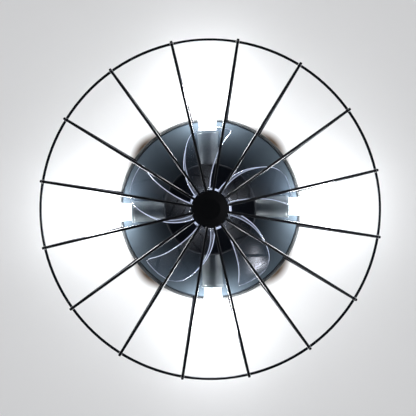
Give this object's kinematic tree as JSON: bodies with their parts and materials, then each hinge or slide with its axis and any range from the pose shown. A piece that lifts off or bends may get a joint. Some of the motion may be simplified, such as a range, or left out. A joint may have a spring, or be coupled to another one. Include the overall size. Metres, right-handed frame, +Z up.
{
  "type": "ceiling fan",
  "caption": "Flush ceiling fan light: round canopy, central motor with screw-in bulbs set radially around it, clear swept impeller, all inside an open flat wire cage.",
  "frame": {"origin": "middle of the ceiling bracket's top face, on the ceiling plane; the object hangs below it", "axes": "+Z up, along the motor shaft; +X along the ceiling bracket and through bulb 1; +Y through bulb 2"},
  "size_m": [0.5039, 0.504, 0.178],
  "materials": {
    "black_steel": "satin black paint",
    "zinc_steel": "bright zinc plate",
    "black_screws": "black oxide",
    "bright_steel": "ground and polished",
    "brass": "plain",
    "lamp_cap": "plain",
    "die_cast": "as cast",
    "lamination": "varnished steel sheet",
    "winding_copper": "enamelled copper wire",
    "rubber": "moulded",
    "black_phenolic": "gloss moulding",
    "black_plastic": "satin moulding",
    "white_plastic": "moulded",
    "grey_plastic": "fine texture",
    "circuit_board": "coated board",
    "lead_insulation": "extruded",
    "clear_plastic": "clear gloss moulding",
    "opal_glass": "opal"
  },
  "bodies": {
    "fan_frame": {"ceiling_bracket": "zinc_steel", "canopy_pan": "black_steel", "canopy_screws": "zinc_steel", "terminal_block": "white_plastic", "receiver_case": "grey_plastic", "receiver_lid": "grey_plastic", "receiver_board": "circuit_board", "wire_grommets": "rubber", "lamp_leads": "lead_insulation", "motor_housing": "black_steel", "floor_screws": "zinc_steel", "motor_dampers": "rubber", "motor_upper_bell": "die_cast", "motor_lower_bell": "die_cast", "motor_tie_screws": "zinc_steel", "stator_core": "lamination", "stator_windings": "winding_copper", "upper_bearing": "bright_steel", "lower_bearing": "bright_steel", "socket_shells": "brass", "socket_contacts": "brass", "socket_nuts": "zinc_steel", "cage_ring": "black_steel", "cage_hoop": "black_steel", "cage_disc": "black_steel", "cage_tabs": "black_steel", "cage_screws": "black_screws", "lampholder_1": "black_phenolic", "lampholder_2": "black_phenolic", "lampholder_3": "black_phenolic", "lampholder_4": "black_phenolic", "cage_rib_01": "black_steel", "cage_rib_02": "black_steel", "cage_rib_03": "black_steel", "cage_rib_04": "black_steel", "cage_rib_05": "black_steel", "cage_rib_06": "black_steel", "cage_rib_07": "black_steel", "cage_rib_08": "black_steel", "cage_rib_09": "black_steel", "cage_rib_10": "black_steel", "cage_rib_11": "black_steel", "cage_rib_12": "black_steel", "cage_rib_13": "black_steel", "cage_rib_14": "black_steel", "cage_rib_15": "black_steel", "cage_rib_16": "black_steel"},
    "impeller_assembly": {"bearing_inner_rings": "bright_steel", "rotor": "lamination", "motor_shaft": "bright_steel", "impeller": "clear_plastic", "spinner_nut": "black_plastic"},
    "bulb_1": {"bulb_cap_1": "lamp_cap", "bulb_globe_1": "opal_glass"},
    "bulb_2": {"bulb_cap_2": "lamp_cap", "bulb_globe_2": "opal_glass"},
    "bulb_3": {"bulb_cap_3": "lamp_cap", "bulb_globe_3": "opal_glass"},
    "bulb_4": {"bulb_cap_4": "lamp_cap", "bulb_globe_4": "opal_glass"}
  },
  "joints": [
    {"name": "impeller_spin", "type": "hinge", "parent": "fan_frame", "child": "impeller_assembly", "pos_m": [0, 0, -0.12], "axis": [0, 0, -1], "continuous": true},
    {"name": "bulb_1_out", "type": "slide", "parent": "fan_frame", "child": "bulb_1", "axis": [1, 0, 0], "range_m": [0, 0.028]},
    {"name": "bulb_2_out", "type": "slide", "parent": "fan_frame", "child": "bulb_2", "axis": [0, 1, 0], "range_m": [0, 0.028]},
    {"name": "bulb_3_out", "type": "slide", "parent": "fan_frame", "child": "bulb_3", "axis": [-1, 0, 0], "range_m": [0, 0.028]},
    {"name": "bulb_4_out", "type": "slide", "parent": "fan_frame", "child": "bulb_4", "axis": [0, -1, 0], "range_m": [0, 0.028]}
  ]
}
